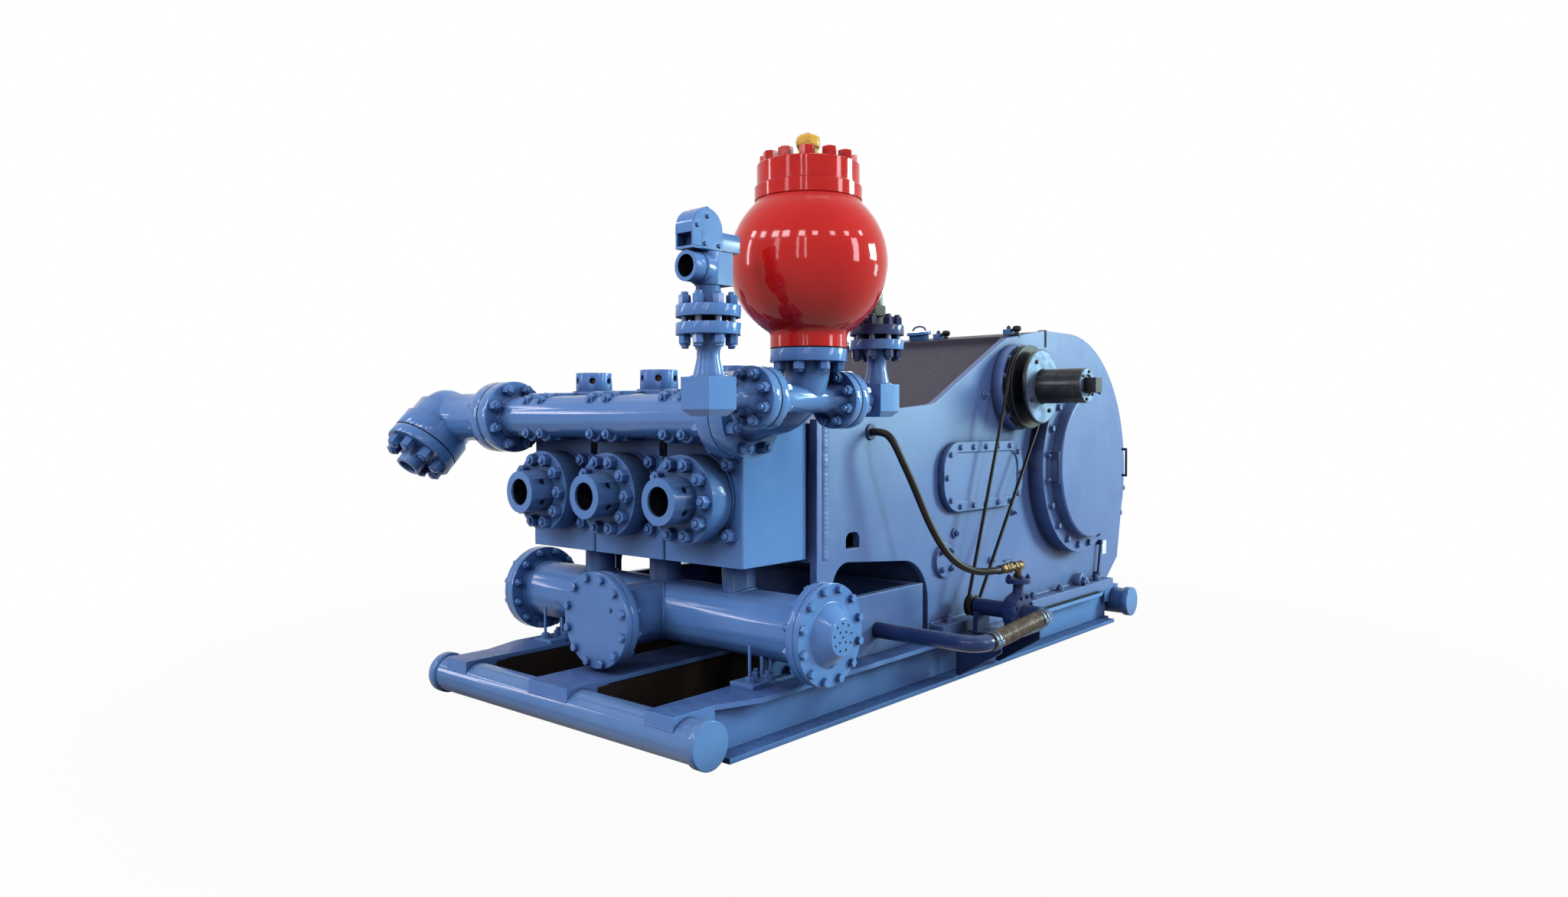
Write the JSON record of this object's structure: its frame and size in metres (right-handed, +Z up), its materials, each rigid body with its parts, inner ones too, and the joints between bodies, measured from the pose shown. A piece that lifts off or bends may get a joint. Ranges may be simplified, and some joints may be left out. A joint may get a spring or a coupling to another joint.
{
  "type": "mud pump",
  "caption": "Skid-mounted single-acting mud pump with a fluid end, a discharge manifold with a round pulsation dampener, a relief valve, a welded power end and a belt-driven spray pump.",
  "frame": {"origin": "on the ground at the centre of the skid, midway between the axes of its two cross tubes", "axes": "+Z up, -Y towards the fluid end, +X towards the side with the dampener, belt and spray pump"},
  "size_m": [3.319, 5.1829, 2.694],
  "materials": {
    "blue_enamel": "glossy blue enamel",
    "red_enamel": "glossy red enamel",
    "yellow_enamel": "glossy yellow enamel",
    "grey_green_paint": "satin grey-green paint",
    "hood_paint": "dull brown-grey paint",
    "pump_paint": "dusty dark blue paint",
    "greased_steel": "dark greased steel",
    "bare_steel": "bare steel",
    "brass": "dull brass",
    "rubber": "matt black-brown rubber",
    "ribbed_hose": "ribbed olive hose"
  },
  "bodies": {
    "pump": {"skid_cross_tubes": "blue_enamel", "skid_beam_left": "blue_enamel", "skid_beam_right": "blue_enamel", "skid_beam_centre": "blue_enamel", "skid_cross_members": "blue_enamel", "fluid_module_left": "blue_enamel", "fluid_module_centre": "blue_enamel", "fluid_module_right": "blue_enamel", "cylinder_cover_left": "blue_enamel", "cylinder_cover_centre": "blue_enamel", "cylinder_cover_right": "blue_enamel", "valve_covers": "blue_enamel", "suction_manifold": "blue_enamel", "suction_front_cover": "blue_enamel", "suction_end_cover_left": "blue_enamel", "suction_end_cover_right": "blue_enamel", "suction_stands": "blue_enamel", "discharge_manifold": "blue_enamel", "discharge_elbow": "blue_enamel", "discharge_outlet_flange": "blue_enamel", "discharge_cross": "blue_enamel", "dampener_body": "red_enamel", "dampener_cover": "red_enamel", "dampener_charging_cap": "yellow_enamel", "relief_branch": "blue_enamel", "relief_valve": "blue_enamel", "relief_valve_hood": "blue_enamel", "gauge_branch": "blue_enamel", "gauge_stub": "grey_green_paint", "frame_side_left": "blue_enamel", "frame_side_right": "blue_enamel", "frame_walls": "blue_enamel", "crankcase_hood": "hood_paint", "hood_fittings": "blue_enamel", "rear_shell": "blue_enamel", "wash_tank": "blue_enamel", "inspection_covers": "blue_enamel", "main_bearing_covers": "blue_enamel", "bearing_cover_handles": "blue_enamel", "pinion_bearings": "blue_enamel", "spray_belt": "rubber", "spray_pump": "pump_paint", "spray_pump_bracket": "blue_enamel", "spray_suction_pipe": "pump_paint", "spray_suction_hose": "ribbed_hose", "wash_valve": "brass", "wash_gland": "pump_paint", "wash_hose": "rubber"},
    "pinion": {"pinion_shaft": "greased_steel"},
    "spray_pulley": {"spray_pump_pulley": "greased_steel"},
    "valve_lever": {"wash_valve_lever": "bare_steel"}
  },
  "joints": [
    {"name": "pinion_spin", "type": "hinge", "parent": "pump", "child": "pinion", "pos_m": [0, 0.695, 1.715], "axis": [1, 0, 0], "continuous": true},
    {"name": "spray_pulley_spin", "type": "hinge", "parent": "pump", "child": "spray_pulley", "pos_m": [0.95, -0.005, 0.414], "axis": [1, 0, 0], "continuous": true},
    {"name": "wash_lever_turn", "type": "hinge", "parent": "pump", "child": "valve_lever", "pos_m": [1.249, -0.089, 0.7], "axis": [0, 0, 1], "range_deg": [0, 90]}
  ],
  "couplings": [
    {"joint": "spray_pulley_spin", "follows": "pinion_spin", "ratio": 4.7711}
  ]
}
